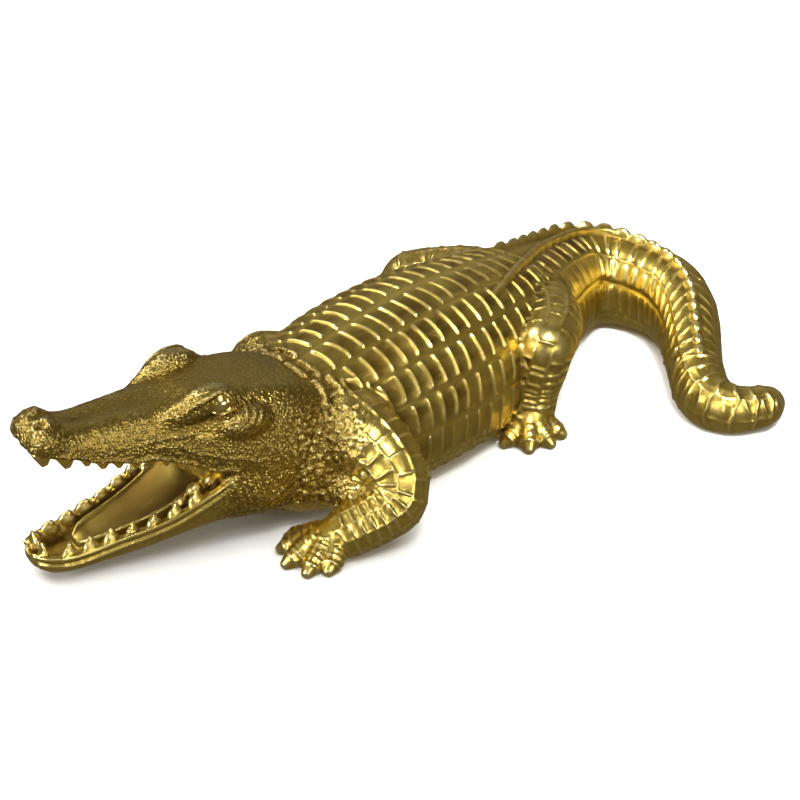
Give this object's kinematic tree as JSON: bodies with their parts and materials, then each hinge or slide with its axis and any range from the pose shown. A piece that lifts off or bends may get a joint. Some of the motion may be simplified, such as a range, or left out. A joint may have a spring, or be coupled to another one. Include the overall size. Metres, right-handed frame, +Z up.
{
  "type": "crocodile figurine",
  "caption": "Gold-finished crocodile figurine lying low with open toothed jaws, ridged back plates and a tail swung round to one side.",
  "frame": {"origin": "on the standing plane, under the middle of the figurine's outline", "axes": "+Z up; the figurine's length runs along X with the head towards -X and its left side towards -Y"},
  "size_m": [0.3758, 0.2178, 0.078],
  "materials": {
    "gilt": "bright gold finish with darker recesses"
  },
  "bodies": {
    "root": {"crocodile": "gilt"}
  },
  "joints": []
}
